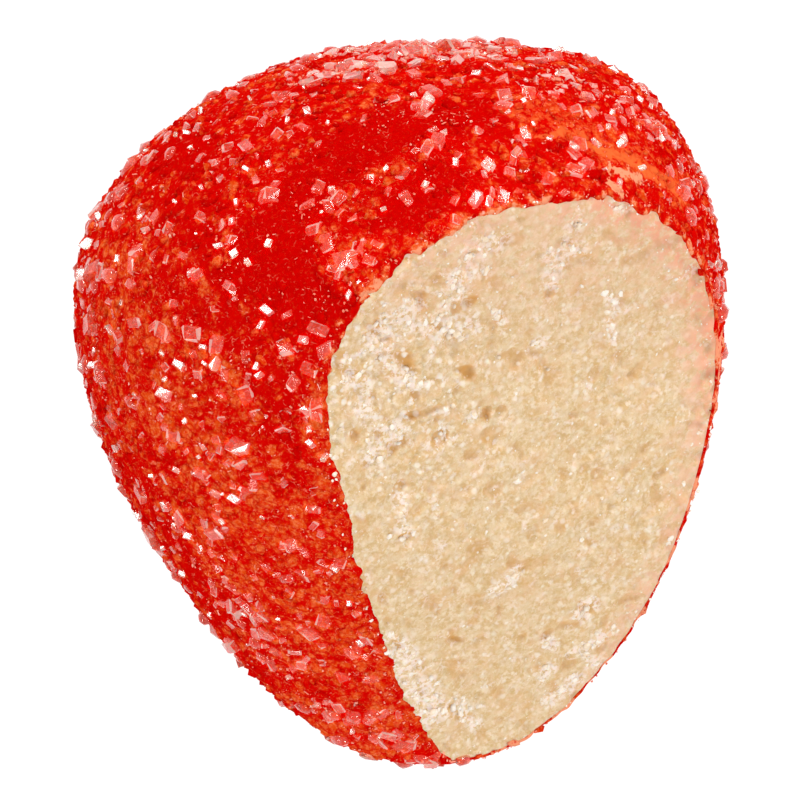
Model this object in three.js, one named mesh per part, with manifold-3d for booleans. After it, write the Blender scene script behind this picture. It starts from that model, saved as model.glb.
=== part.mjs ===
// A marzipan strawberry lying on its side, with a slice cut off it that shows the pale paste under its red
// sugar coat. Millimetres, +Z up. The tip points along -Y and the crown along +Y. The cut faces up, towards
// +X and the tip.

import * as THREE from "three";
import { ImprovedNoise } from "three/addons/math/ImprovedNoise.js";
import { mergeVertices } from "three/addons/utils/BufferGeometryUtils.js";
import Module from "manifold-3d";

// The form. Reach is measured from the core line, a straight line along Y from the tip to the crown: how far
// the coat reaches at its widest, how far up the length that is, and how blunt the outline is on the way to
// the tip and to the crown. A smaller power is blunter.
const LENGTH = 35.7;
const REACH = {
  left: { widest: 17.4, at: 0.655, toTip: 0.305, toCrown: 0.49 },
  right: { widest: 14.8, at: 0.625, toTip: 0.24, toCrown: 0.23 },
  up: { widest: 15.35, at: 0.62, toTip: 0.675, toCrown: 0.445 },
  down: { widest: 13.15, at: 0.565, toTip: 0.25, toCrown: 0.42 },
};
const FLAT_DEPTH = 12.4; // the core line's height over the flat spot that the sweet rests on
const LUMP_SHARE = 0.01; // how uneven the hand-rolled form is, as a share of its radius
const LUMP_WAVES = [
  { across: [5.1, 4.0, 0.6], start: 0.0 },
  { across: [-0.7, 4.4, 5.8], start: 1.0 },
  { across: [4.1, 0.5, -6.2], start: 2.0 },
]; // turns of each wave of lumps over the unit sphere, in radians
const FORM_DETAIL = 9; // splits of each icosahedron edge
const HALVINGS = 40; // steps that find the surface along a direction
const WELD = 1e-4; // corners closer than this are one corner

// The layers, from the outside in.
const COAT_THICK = 0.45;
const COAT_GAP = 0.1;

// The cut is a plane at CUT_HEIGHT over the core line's middle. It falls by CUT_FALL for each millimetre to
// the right, and rises by CUT_RISE for each millimetre towards the crown. The knife left one low wave in it.
const CUT_HEIGHT = 11.1;
const CUT_FALL = 0.615;
const CUT_RISE = 0.565;
const CUT_WAVE = { high: 0.32, long: 20, crest: -6.5 };
const CUT_SPAN = 44; // the knife's block is larger than the sweet all round
const CUT_BLOCK = 20;
const CRUMB_PITCH = 1.0; // spacing of the facets of the crumbly cut
const CRUMB_RELIEF = [
  { size: 3.4, high: 0.3, slice: 0.5 },
  { size: 1.3, high: 0.22, slice: 7.5 },
]; // broad waves and single crumbs, each its own slice of the noise

// The largest sugar crystals of the coat. Finer ones are below the scale of the solids.
const CRYSTAL_COUNT = 250; // spread over the whole form, before those on the cut and under it are left out
const CRYSTAL_LONG = { least: 0.7, most: 1.15 };
const CRYSTAL_SHAPE = [1, 0.82, 0.66]; // length, width and thickness
const CRYSTAL_TILT = 0.7; // radians off the surface, at most
const CRYSTAL_SINK = 0.1; // a crystal's middle lies this far under the coat's surface
const CRYSTAL_CLEAR = 0.9; // no crystal closer than this to the cut or to the resting plane
const SEED = 41;

const MARZIPAN_LOOK = { color: 0xe3c892, roughness: 0.75, metalness: 0 };
const COAT_LOOK = { color: 0xd8180c, roughness: 0.35, metalness: 0 };

const wasm = await Module();
wasm.setup();
const noise = new ImprovedNoise();
const TRUE_SIZE = new THREE.Vector3(1, 1, 1);

// A closed three.js geometry as a solid that can be joined and cut.
function solidOf(geometry) {
  const bare = geometry.clone();
  bare.deleteAttribute("normal");
  bare.deleteAttribute("uv");
  const merged = mergeVertices(bare, WELD);
  return new wasm.Manifold(
    new wasm.Mesh({
      numProp: 3,
      vertProperties: new Float32Array(merged.attributes.position.array),
      triVerts: new Uint32Array(merged.index.array),
    }),
  );
}

// The largest body of a solid, as a three.js geometry. Loose scraps that a cut leaves are dropped.
function geometryOf(solid) {
  const largest = solid.decompose().reduce((a, b) => (a.volume() > b.volume() ? a : b));
  const mesh = largest.getMesh();
  const geometry = new THREE.BufferGeometry();
  geometry.setAttribute("position", new THREE.BufferAttribute(mesh.vertProperties, mesh.numProp));
  geometry.setIndex(new THREE.BufferAttribute(mesh.triVerts, 1));
  geometry.computeVertexNormals();
  return geometry;
}

// Reach of one side at a share of the length, from 0 at the tip to 1 at the crown.
function reachAt(side, share) {
  const skew = Math.log(0.5) / Math.log(side.at);
  const swell = Math.sin(Math.PI * share ** skew);
  return side.widest * swell ** (share < side.at ? side.toTip : side.toCrown);
}

// True inside the form, for a point measured from the middle of the core line.
function isInside(point) {
  const share = point.y / LENGTH + 0.5;
  if (share <= 0 || share >= 1) return false;
  const across = point.x / reachAt(point.x < 0 ? REACH.left : REACH.right, share);
  const height = point.z / reachAt(point.z < 0 ? REACH.down : REACH.up, share);
  return across ** 2 + height ** 2 < 1;
}

// The lumps of the hand-rolled form, as a factor on the radius in a direction.
function lumpAlong(direction) {
  let swell = 0;
  for (const { across, start } of LUMP_WAVES) {
    swell += Math.sin(direction.dot(new THREE.Vector3(...across)) + start);
  }
  return 1 + (LUMP_SHARE * swell) / LUMP_WAVES.length;
}

// The point of the coat's surface that lies in a direction from the middle, found by halving.
function surfaceAlong(direction) {
  let near = 0;
  let far = LENGTH;
  for (let step = 0; step < HALVINGS; step++) {
    const middle = (near + far) / 2;
    if (isInside(direction.clone().multiplyScalar(middle))) near = middle;
    else far = middle;
  }
  const point = direction.clone().multiplyScalar(near * lumpAlong(direction));
  point.z = Math.max(point.z, -FLAT_DEPTH);
  return point;
}

// The whole form before the cut, as an even mesh with its normals.
function wholeForm() {
  const sphere = new THREE.IcosahedronGeometry(1, FORM_DETAIL);
  sphere.deleteAttribute("normal");
  sphere.deleteAttribute("uv");
  const form = mergeVertices(sphere, WELD);
  const places = form.attributes.position;
  const point = new THREE.Vector3();
  for (let i = 0; i < places.count; i++) {
    point.fromBufferAttribute(places, i).normalize();
    places.setXYZ(i, ...surfaceAlong(point).toArray());
  }
  form.computeVertexNormals();
  return form;
}

// The form with its surface moved in by a distance, along its normals.
function shrunk(form, depth) {
  const inner = form.clone();
  const places = inner.attributes.position;
  const normals = form.attributes.normal;
  const point = new THREE.Vector3();
  const normal = new THREE.Vector3();
  for (let i = 0; i < places.count; i++) {
    point.fromBufferAttribute(places, i);
    normal.fromBufferAttribute(normals, i);
    point.addScaledVector(normal, -depth);
    point.z = Math.max(point.z, depth - FLAT_DEPTH);
    places.setXYZ(i, ...point.toArray());
  }
  return inner;
}

const cutNormal = new THREE.Vector3(CUT_FALL, -CUT_RISE, 1).normalize();
const cutMiddle = new THREE.Vector3(0, 0, CUT_HEIGHT);
const heightOverCut = (point) => point.clone().sub(cutMiddle).dot(cutNormal);

// How far the crumbly cut stands up from its plane at a place on it.
function cutRelief({ x, y }) {
  let relief = CUT_WAVE.high * Math.cos((2 * Math.PI * (y - CUT_WAVE.crest)) / CUT_WAVE.long);
  for (const { size, high, slice } of CRUMB_RELIEF) {
    relief += high * noise.noise(x / size, y / size, slice);
  }
  return relief;
}

// The block that the cut takes away. Its underside has the cut's relief.
function knifeBlock() {
  const facets = Math.round(CUT_SPAN / CRUMB_PITCH);
  const block = new THREE.BoxGeometry(CUT_SPAN, CUT_SPAN, CUT_BLOCK, facets, facets, 1);
  const turn = new THREE.Quaternion().setFromUnitVectors(new THREE.Vector3(0, 0, 1), cutNormal);
  const centre = cutMiddle.clone().addScaledVector(cutNormal, CUT_BLOCK / 2);
  block.applyMatrix4(new THREE.Matrix4().compose(centre, turn, TRUE_SIZE));
  const places = block.attributes.position;
  const point = new THREE.Vector3();
  for (let i = 0; i < places.count; i++) {
    point.fromBufferAttribute(places, i);
    const underneath = heightOverCut(point) < CUT_BLOCK / 2;
    if (underneath) point.addScaledVector(cutNormal, cutRelief(point));
    places.setXYZ(i, ...point.toArray());
  }
  return block;
}

// One blocky sugar crystal, half sunk in the coat at a point of its surface.
function crystalAt(point, outward, draw) {
  const long = THREE.MathUtils.lerp(CRYSTAL_LONG.least, CRYSTAL_LONG.most, draw() ** 2);
  const crystal = new THREE.BoxGeometry(...CRYSTAL_SHAPE.map((share) => share * long));
  const lie = new THREE.Quaternion().setFromUnitVectors(new THREE.Vector3(0, 0, 1), outward);
  const tilt = () => THREE.MathUtils.lerp(-CRYSTAL_TILT, CRYSTAL_TILT, draw());
  const spin = new THREE.Quaternion().setFromEuler(new THREE.Euler(tilt(), tilt(), draw() * Math.PI));
  const centre = point.clone().addScaledVector(outward, -CRYSTAL_SINK);
  const place = new THREE.Matrix4().compose(centre, lie.multiply(spin), TRUE_SIZE);
  return crystal.applyMatrix4(place);
}

// The crystals, at even steps on a spiral from the tip to the crown.
function crystals() {
  THREE.MathUtils.seededRandom(SEED);
  const draw = () => THREE.MathUtils.seededRandom();
  const goldenTurn = Math.PI * (3 - Math.sqrt(5));
  const found = [];
  for (let i = 0; i < CRYSTAL_COUNT; i++) {
    const along = 1 - (2 * (i + draw())) / CRYSTAL_COUNT;
    const ring = Math.sqrt(Math.max(0, 1 - along ** 2));
    const turn = i * goldenTurn;
    const outward = new THREE.Vector3(ring * Math.cos(turn), along, ring * Math.sin(turn));
    const point = surfaceAlong(outward);
    const onCut = heightOverCut(point) > -CRYSTAL_CLEAR;
    const underneath = point.z < CRYSTAL_CLEAR - FLAT_DEPTH;
    if (!onCut && !underneath) found.push(crystalAt(point, outward, draw));
  }
  return found;
}

const form = wholeForm();
const knife = solidOf(knifeBlock());
const coatInside = solidOf(shrunk(form, COAT_THICK));
const coatSolid = wasm.Manifold.union([solidOf(form), ...crystals().map(solidOf)])
  .subtract(coatInside)
  .subtract(knife);
const marzipanSolid = solidOf(shrunk(form, COAT_THICK + COAT_GAP)).subtract(knife);

function piece(name, solid, look) {
  const mesh = new THREE.Mesh(geometryOf(solid), new THREE.MeshStandardMaterial(look));
  mesh.name = name;
  return mesh;
}

const strawberry = new THREE.Group();
strawberry.add(piece("marzipan", marzipanSolid, MARZIPAN_LOOK));
strawberry.add(piece("sugar_coat", coatSolid, COAT_LOOK));

// The origin is under the middle of the sweet's box, on the surface that it rests on.
const box = new THREE.Box3().setFromObject(strawberry);
const middle = box.getCenter(new THREE.Vector3());
strawberry.position.set(-middle.x, -middle.y, -box.min.z);

export default strawberry;
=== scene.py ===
"""A marzipan strawberry lying on its back, with a slice cut off that shows the pale paste under its red
sugar coat. Lengths are in millimetres until a piece is settled in the frame. They are measured from the
middle of the core line, a straight line along Y from the tip to the crown."""

import math

import bmesh
import bpy
import numpy as np
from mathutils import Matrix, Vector, kdtree, noise


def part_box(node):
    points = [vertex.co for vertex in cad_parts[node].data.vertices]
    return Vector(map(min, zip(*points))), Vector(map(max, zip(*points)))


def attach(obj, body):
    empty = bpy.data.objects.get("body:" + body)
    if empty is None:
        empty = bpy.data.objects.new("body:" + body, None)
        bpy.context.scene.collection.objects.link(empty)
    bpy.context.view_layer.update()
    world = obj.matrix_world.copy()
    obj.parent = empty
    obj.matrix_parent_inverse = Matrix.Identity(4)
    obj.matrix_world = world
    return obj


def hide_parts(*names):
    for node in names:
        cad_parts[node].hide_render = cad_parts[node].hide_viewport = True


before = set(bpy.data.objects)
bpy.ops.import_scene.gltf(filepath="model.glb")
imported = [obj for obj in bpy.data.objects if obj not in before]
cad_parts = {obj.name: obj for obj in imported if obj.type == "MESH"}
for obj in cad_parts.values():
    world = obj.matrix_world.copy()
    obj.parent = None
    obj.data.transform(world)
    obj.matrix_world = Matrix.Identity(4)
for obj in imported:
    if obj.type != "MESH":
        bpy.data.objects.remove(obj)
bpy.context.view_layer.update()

MM = 0.001

# The form: how far the coat reaches from the core line at its widest, how far up the length that is, and
# how blunt the outline is towards the tip and the crown.
LENGTH = 35.7
LEFT = {"widest": 17.4, "at": 0.655, "to_tip": 0.305, "to_crown": 0.49}
RIGHT = {"widest": 14.8, "at": 0.625, "to_tip": 0.24, "to_crown": 0.23}
UP = {"widest": 15.35, "at": 0.62, "to_tip": 0.675, "to_crown": 0.445}
DOWN = {"widest": 13.15, "at": 0.565, "to_tip": 0.25, "to_crown": 0.42}
FLAT_DEPTH = 12.4  # the core line's height over the flat spot that the sweet rests on
LUMP_SHARE = 0.01  # of the reach, by low waves, each with a direction and a start
LUMP_WAVES = (((5.1, 4.0, 0.6), 0.0), ((-0.7, 4.4, 5.8), 1.0), ((4.1, 0.5, -6.2), 2.0))
HALVINGS = 40  # steps that find the surface in a direction
PASTE_DEPTH = 0.55  # the solid paste lies this far under the coat's surface
SKIN_SPLITS = 88  # splits of each icosahedron edge for the coat's outside
LINING_SPLITS = 32  # and for its inside
COAT_THICK = 0.1
SKIN_CRAGS = {"high": 0.1, "long": 0.7, "swell": 0.04, "swell_long": 1.1, "sunk": 0.03}

# The cut: a plane over the core line's middle that falls to the right and rises towards the crown, with
# one low wave along it.
CUT_HEIGHT = 11.1
CUT_FALL = 0.615
CUT_RISE = 0.565
CUT_WAVE = {"high": 0.32, "long": 20.0, "crest": -6.5}
CUT_NORMAL = np.array((CUT_FALL, -CUT_RISE, 1.0)) / math.sqrt(CUT_FALL**2 + CUT_RISE**2 + 1)
CUT_RIGHT = np.array((1.0, 0.0, -CUT_FALL)) / math.hypot(1, CUT_FALL)
CUT_CROWN = np.cross(CUT_NORMAL, CUT_RIGHT)
CUT_MIDDLE = np.array((0.0, 0.0, CUT_HEIGHT))
CUT_LOW, CUT_HIGH = (-9.0, -22.5), (20.0, 17.0)  # the knife's sweep, to the right and towards the crown
CUT_PITCH = 0.095  # between the points of the cut
CUT_BLOCK = 20.0  # how much is taken away over it
CUT_SWELL = ((0.16, 3.4, 0.5), (0.1, 1.2, 2.5))  # ripples, each an amount, a size and a start
CUT_GRAINS = ((0.04, 0.17, 0.62, 7.5), (0.05, 0.08, 0.3, 4.5))  # height, more where torn, size and start
GRAIN_MIDDLE = 0.6

# Regions of the coat are strips over the upper side: a start, an end and a width, seen from above.
STRIP_STEPS = 9
GLAZE_STRIPS = (
    ((2.4, 13.4), (-1.5, 13.0), 1.9),
    ((-1.5, 13.0), (-5.0, 10.5), 2.5),
    ((-5.5, 9.5), (-7.6, 6.2), 2.7),
    ((-7.6, 6.2), (-4.8, 3.8), 2.2),
    ((0.6, 10.4), (-1.4, 8.4), 1.5),
    ((-12.4, 12.4), (-11.0, 11.6), 1.9),
)  # wet red glaze with few crystals
WARM_STRIPS = (
    ((-13.5, 2.0), (-2.0, -15.0), 6.5),
    ((-14.5, 7.0), (-12.5, 1.5), 3.2),
    ((-4.5, -1.0), (-4.0, -8.0), 3.0),
    ((-1.5, 11.3), (-2.4, 10.6), 0.9),
    ((-3.4, 7.0), (0.6, 8.0), 1.2),
    ((5.5, 14.0), (12.2, 10.0), 1.6),
)  # orange, where the dye is thin
BARE_STRIPS = (
    ((5.3, 12.5), (7.0, 12.8), 0.5),
    ((7.4, 12.1), (8.9, 11.7), 0.5),
    ((9.4, 11.5), (11.8, 10.4), 0.65),
)  # smooth orange streaks, where the crystals have come off
PEACH_STRIPS = (
    ((8.7, 11.0), (9.9, 10.7), 0.65),
    ((8.6, 10.3), (9.0, 9.9), 0.45),
)  # paler spots, where the paste shines through
BRIGHTER_STRIPS = (
    ((4.5, 14.0), (12.0, 10.2), 2.6),
)  # a brighter, more orange coat on the right of the crown
HEAP_STRIPS = (
    ((-5.5, 15.6), (3.0, 17.0), 1.7),
    ((-4.5, 17.0), (3.2, 17.7), 1.6),
    ((6.0, 15.6), (11.5, 13.2), 1.5),
    ((-16.3, 6.5), (-15.6, 0.5), 0.6),
    ((-12.5, -5.0), (-6.5, -13.0), 1.3),
    ((-6.0, -14.5), (0.5, -17.6), 1.2),
)  # drifts of clear crystals

# Single crystals, by their place seen from above and their length.
LARGE_CRYSTALS = (
    (-6.7, 14.5, 1.0), (-7.3, 14.2, 0.7), (-4.0, 9.4, 0.9), (-4.5, 9.0, 0.7), (-3.7, 6.5, 1.1),
    (-4.6, 7.3, 0.9), (-3.1, 7.2, 0.8), (-4.2, 5.9, 0.7), (-2.6, 6.4, 0.6), (-12.3, 3.4, 0.8),
    (-10.8, 3.3, 0.9), (-8.8, -1.9, 0.9), (0.2, 14.6, 0.9), (-0.4, 13.9, 0.7), (-3.5, 15.4, 1.1),
    (-1.9, 15.9, 1.2), (1.4, 16.3, 1.0), (6.9, 10.8, 0.9), (7.4, 11.2, 0.7), (2.8, 11.0, 0.7),
    (-9.5, 8.2, 0.7), (-13.6, 7.2, 0.8), (-14.6, 3.0, 0.9), (-6.3, -6.6, 0.7), (-10.6, -3.2, 0.8),
    (-5.6, -11.0, 0.8), (-12.9, -7.2, 1.0), (-1.4, -16.3, 0.8), (10.6, 13.3, 0.8), (-5.3, 15.2, 1.1),
    (-4.6, 15.6, 0.9), (-3.9, 15.9, 1.2), (-3.1, 16.1, 1.0), (-2.4, 16.4, 1.2), (-1.6, 16.5, 0.9),
    (-0.8, 16.9, 1.3), (0.0, 16.8, 1.0), (0.7, 17.1, 1.2), (1.5, 16.8, 0.9), (2.2, 16.7, 1.1),
    (3.2, 16.5, 0.9), (-16.0, 6.4, 1.1), (-16.1, 3.9, 1.0), (-15.6, 1.6, 1.1), (-13.4, -6.4, 1.2),
    (-9.6, -12.0, 1.0),
)
GLINTS = (
    (-7.3, 4.3, 0.6), (-12.2, 0.5, 0.7), (2.2, 9.3, 0.7), (2.8, 9.2, 0.5), (4.1, 11.6, 0.5),
    (0.0, 14.0, 0.8), (9.1, 12.2, 0.5), (-3.0, 5.4, 0.4), (-8.6, -2.0, 0.7), (-11.5, 1.9, 0.6),
    (-9.7, 1.9, 0.6), (-7.8, 1.8, 0.4), (-9.0, -4.4, 0.6), (-9.9, -4.2, 0.5), (-4.7, -2.4, 0.4),
    (-12.0, -5.3, 0.4), (-16.4, 7.8, 0.6), (-16.7, 6.3, 0.6), (-16.0, 1.9, 0.5),
)  # crystals that catch the light

# Light and camera
KEY_LIGHT = (-180.0, 160.0, 230.0)  # the place of the light that makes the glints
LENS_HEIGHT = 166.7  # the lens over the core line
FRAME_WIDTH = 40.0  # what the picture spans at the core line
FRAME_MIDDLE = (-1.25, 0.2)  # the place under the lens
SENSOR = 36.0

# The cut's crumbs and pits, by their place seen from above.
CRUMB_STRIPS = (
    ((0.4, 3.5), (2.0, 3.7), 0.9),
    ((1.3, 4.9), (2.3, 7.2), 0.8),
    ((2.3, 7.2), (3.5, 7.6), 0.7),
    ((-1.9, 3.4), (-0.5, 4.3), 0.8),
    ((-2.1, 2.5), (-1.6, 1.6), 0.7),
    ((-3.3, 1.0), (-2.7, -0.6), 0.8),
    ((-2.5, -2.3), (-1.3, -1.1), 0.85),
    ((-0.8, 1.2), (-0.3, 0.9), 0.5),
    ((0.8, -1.2), (0.9, -1.4), 0.5),
    ((3.3, 4.2), (3.6, 3.9), 0.5),
    ((7.1, 8.6), (5.8, 5.8), 0.6),
    ((5.4, 2.9), (5.8, 2.9), 0.5),
    ((-1.5, -12.0), (0.3, -15.4), 1.4),
    ((-1.2, -4.5), (-1.0, -6.5), 0.6),
    ((1.6, -14.9), (2.4, -15.9), 0.7),
    ((8.7, 4.0), (9.0, 3.0), 0.4),
    ((7.4, -12.6), (9.4, -11.4), 0.5),
    ((5.6, 6.9), (7.2, 7.4), 0.5),
    ((8.6, 5.2), (9.2, 4.6), 0.55),
    ((8.7, 9.3), (9.7, 9.2), 0.45),
    ((12.3, 6.1), (13.2, 6.5), 0.4),
    ((3.2, -9.3), (4.5, -8.2), 0.6),
    ((7.6, -10.4), (8.3, -9.9), 0.65),
    ((6.1, -11.7), (6.5, -12.1), 0.55),
    ((8.4, -13.1), (9.0, -13.3), 0.6),
    ((5.9, -13.6), (6.4, -13.2), 0.5),
    ((6.3, -15.1), (7.7, -13.9), 0.65),
)
PITS = (
    ((-1.0, 1.95), 0.75, 0.38, -59),
    ((1.8, 1.5), 0.55, 0.3, -20),
    ((-0.55, -0.5), 0.6, 0.28, 5),
    ((-1.5, -1.95), 0.7, 0.3, 55),
    ((-0.3, 4.7), 0.6, 0.35, -60),
    ((-2.4, 3.35), 0.4, 0.2, -20),
    ((2.0, 4.8), 0.5, 0.3, 70),
    ((2.9, -0.45), 0.4, 0.22, 60),
    ((1.4, -11.4), 0.45, 0.3, -20),
)  # each a place, half its length and width, and its direction in degrees
PIT_DEEP = 0.2


# The form

def reach_at(side, share):
    """Reach of one side at a share of the length, from 0 at the tip to 1 at the crown."""
    skew = math.log(0.5) / math.log(side["at"])
    swell = np.sin(np.pi * np.clip(share, 0.0, 1.0) ** skew)
    power = np.where(share < side["at"], side["to_tip"], side["to_crown"])
    return side["widest"] * np.maximum(swell, 1e-9) ** power


def fullness(points):
    """0 on the core line and 1 on the surface."""
    share = points[:, 1] / LENGTH + 0.5
    across = np.where(points[:, 0] < 0, reach_at(LEFT, share), reach_at(RIGHT, share))
    height = np.where(points[:, 2] < 0, reach_at(DOWN, share), reach_at(UP, share))
    inside = (share > 0) & (share < 1)
    return np.where(inside, np.hypot(points[:, 0] / across, points[:, 2] / height), 2.0)


def surface_along(directions):
    """The coat's surface in unit directions from the middle, found by halving."""
    near = np.zeros(len(directions))
    far = np.full(len(directions), LENGTH)
    for _ in range(HALVINGS):
        middle = (near + far) / 2
        inside = fullness(directions * middle[:, None]) < 1
        near = np.where(inside, middle, near)
        far = np.where(inside, far, middle)
    swell = sum(np.sin(directions @ np.array(across) + start) for across, start in LUMP_WAVES)
    points = directions * (near * (1 + LUMP_SHARE * swell / len(LUMP_WAVES)))[:, None]
    points[:, 2] = np.maximum(points[:, 2], -FLAT_DEPTH)
    return points


def on_top(x, y):
    """The point of the upper surface over a place."""
    share = np.array([y / LENGTH + 0.5])
    across = x / reach_at(LEFT if x < 0 else RIGHT, share)[0]
    return np.array((x, y, reach_at(UP, share)[0] * math.sqrt(max(0.0, 1 - across**2))))


def cut_wave(points):
    """How far the low wave along the cut stands out of its plane."""
    return CUT_WAVE["high"] * np.cos(2 * np.pi * (points[:, 1] - CUT_WAVE["crest"]) / CUT_WAVE["long"])


def over_cut(points):
    """Height over the cut, without its crumbs."""
    return (points - CUT_MIDDLE) @ CUT_NORMAL - cut_wave(points)


# Noise and masks

GRAIN_SEED = 5
noise.seed_set(GRAIN_SEED)  # the grains are bent the same way each time

HIDDEN_HEIGHTS = (2.0, -4.0)  # from the last of the strips down to the sides and the back
SIDE_HEIGHTS = (9.0, 5.0)  # from the upper side or the back to the sides
UPPER_HEIGHTS = (0.0, 3.0)  # from the sides to the upper side
CROWN_RANGE = (13.5, 15.5)  # from the start of the drift at the crown to its full thickness
CUT_BORDER = (-0.6, 0.0)  # heights over the cut, from the coat to the border
LIP_HIGH = 0.3
LIP_RANGE = (-16.2, -17.4)  # from the start of the lip at the tip to its full height
GLAZE_EDGE = ((0.3, 2.2, 0.0), (0.2, 0.8, 5.0))  # ripples of the regions' edges
WARM_EDGE = ((0.4, 2.6, 8.0), (0.3, 0.9, 6.0))
WHITE_EDGE = ((0.6, 0.8, 71.0), (0.45, 0.35, 75.0))


def ripple(points, size, start=0.0):
    """Soft noise from -1 to 1 with lumps of a size."""
    return np.array([noise.noise(Vector(p)) for p in points / size + start])


def ripples(points, waves):
    """Several ripples together, each an amount, a size and a start."""
    return sum(amount * ripple(points, size, start) for amount, size, start in waves)


def grains(points, size, start=0.0):
    """Irregular rounded grains of a size: 1 at the middle of each, falling towards 0 between them."""
    bent = [Vector(p) + 0.35 * noise.noise_vector(Vector(p) * 1.7) for p in points / size + start]
    near = np.array([noise.voronoi(p)[0][0] for p in bent])
    return np.clip(1 - near**2, 0, 1)


def smooth(low, high, values):
    """0 at low and 1 at high, with a soft step between."""
    t = np.clip((values - low) / (high - low), 0.0, 1.0)
    return t * t * (3 - 2 * t)


def strip_mask(points, strips):
    """1 along the middle of each strip over the upper side, and 0 at its edge and beyond."""
    mask = np.zeros(len(points))
    for start, end, width in strips:
        for t in np.linspace(0, 1, STRIP_STEPS):
            place = on_top(*(np.array(start) * (1 - t) + np.array(end) * t))
            mask = np.maximum(mask, 1 - np.linalg.norm(points - place, axis=1) / width)
    return mask


def flat_strip_mask(points, strips):
    """As strip_mask, by the place seen from above."""
    mask = np.zeros(len(points))
    for start, end, width in strips:
        start, way = np.array(start), np.array(end) - np.array(start)
        along = np.clip((points[:, :2] - start) @ way / (way @ way), 0, 1)
        off = points[:, :2] - start - along[:, None] * way
        mask = np.maximum(mask, 1 - np.linalg.norm(off, axis=1) / width)
    return mask


def hidden_side(points):
    """1 on the sides and the back, which the strips leave out."""
    return smooth(*HIDDEN_HEIGHTS, points[:, 2])


def glaze_at(points):
    """How thick the wet glaze is, from 0 to 1."""
    front = smooth(0.15, 0.6, strip_mask(points, GLAZE_STRIPS) + ripples(points, GLAZE_EDGE))
    return np.maximum(front, smooth(0.15, 0.4, ripple(points, 7.0, 3.0)) * hidden_side(points))


def warm_at(points):
    """How orange the coat is, from 0 to 1."""
    front = smooth(0.1, 0.7, strip_mask(points, WARM_STRIPS) + ripples(points, WARM_EDGE))
    return np.maximum(front, smooth(-0.1, 0.4, ripple(points, 6.0, 11.0)) * hidden_side(points))


def blotched(points, strips, size):
    """As strip_mask, broken up into blotches of a size."""
    blotch = 1 + ripple(points, size, 14.0) + ripple(points, 0.4 * size, 18.0)
    return smooth(0.1, 0.7, strip_mask(points, strips) * blotch)


def bare_at(points):
    """How bare of crystals the coat is, from 0 to 1."""
    return blotched(points, BARE_STRIPS, 0.8)


def peach_at(points):
    """How far the paste shines through, from 0 to 1."""
    return blotched(points, PEACH_STRIPS, 0.6)


def brighter_at(points):
    """How much brighter and more orange the coat is there, from 0 to 1."""
    return blotched(points, BRIGHTER_STRIPS, 1.2)


def heap_at(points):
    """How many clear crystals are heaped up, from 0 to 1."""
    front = smooth(0.0, 0.7, strip_mask(points, HEAP_STRIPS) + 0.35 * ripple(points, 1.6, 23.0))
    return np.maximum(front, smooth(0.1, 0.45, ripple(points, 5.0, 27.0)) * hidden_side(points))


def crown_drift(points):
    """How thick the drift of crystals at the crown is, from 0 to 1."""
    return heap_at(points) * smooth(*CROWN_RANGE, points[:, 1])


def worn_at(points):
    """1 on the right flank close under the cut, where the coat is thin and has few crystals."""
    flank = smooth(6.5, 9.0, points[:, 0] - 0.25 * points[:, 1]) * smooth(7.0, 3.0, points[:, 1])
    return flank * smooth(-1.4, -0.5, over_cut(points))


def by_cut(points):
    """1 at the cut's border, falling to 0 a little way off on the coat."""
    return smooth(*CUT_BORDER, over_cut(points))


def tip_lip(points):
    """How far the coat's crystals stand over the cut: only at the tip."""
    return LIP_HIGH * smooth(*LIP_RANGE, points[:, 1])


def torn_at(points):
    """How torn the cut is, from 0 to 1: most on the upper left, least at the lower right."""
    torn = 0.2 + 0.55 * smooth(5.0, -1.0, points[:, 0]) * smooth(-7.0, 0.0, points[:, 1])
    drift = flat_strip_mask(points, CRUMB_STRIPS)
    return np.clip(np.maximum(drift, torn) + 0.4 * ripple(points, 1.3, 20.0), 0, 1)


def white_at(points):
    """How white and dry the crumbs of the cut are, from 0 to 1."""
    patch = 0.95 * flat_strip_mask(points, CRUMB_STRIPS) + 0.3 * torn_at(points)
    return smooth(0.2, 0.75, patch + ripples(points, WHITE_EDGE))


def rim_depth(points):
    """How far inside the coat's surface points of the cut lie."""
    return (1 - fullness(points)) * RIGHT["widest"]


def pit_at(points):
    """How deep the torn pits are, from 0 to 1."""
    warped = points[:, :2] + 0.3 * np.stack([ripple(points, 0.6, 31.0), ripple(points, 0.6, 37.0)], 1)
    depth = smooth(0.22, 0.5, ripple(points, 0.9, 61.0)) * (0.35 + 0.5 * torn_at(points))
    for place, long, wide, turn in PITS:
        ahead = np.array((math.cos(math.radians(turn)), math.sin(math.radians(turn))))
        off = warped - np.array(place)
        apart = np.hypot(off @ ahead / long, (off[:, 1] * ahead[0] - off[:, 0] * ahead[1]) / wide)
        depth = np.maximum(depth, smooth(1.4, 0.3, apart))
    return depth


# Meshes

def places_of(mesh):
    found = np.empty(len(mesh.vertices) * 3)
    mesh.vertices.foreach_get("co", found)
    return found.reshape(-1, 3)


def normals_of(mesh):
    found = np.empty(len(mesh.vertices) * 3)
    mesh.vertex_normals.foreach_get("vector", found)
    return found.reshape(-1, 3)


def put_places(mesh, points):
    mesh.vertices.foreach_set("co", points.ravel())
    mesh.update()


def mesh_from(name, points, faces):
    mesh = bpy.data.meshes.new(name)
    mesh.from_pydata(points.tolist(), [], faces)
    return mesh


def linked(name, mesh):
    piece = bpy.data.objects.new(name, mesh)
    bpy.context.scene.collection.objects.link(piece)
    return piece


def give(mesh, name, values, domain="POINT"):
    """Stores a value for each point or face of a mesh, for its material."""
    mesh.attributes.new(name, "FLOAT", domain).data.foreach_set("value", values.astype(np.float32))


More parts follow.
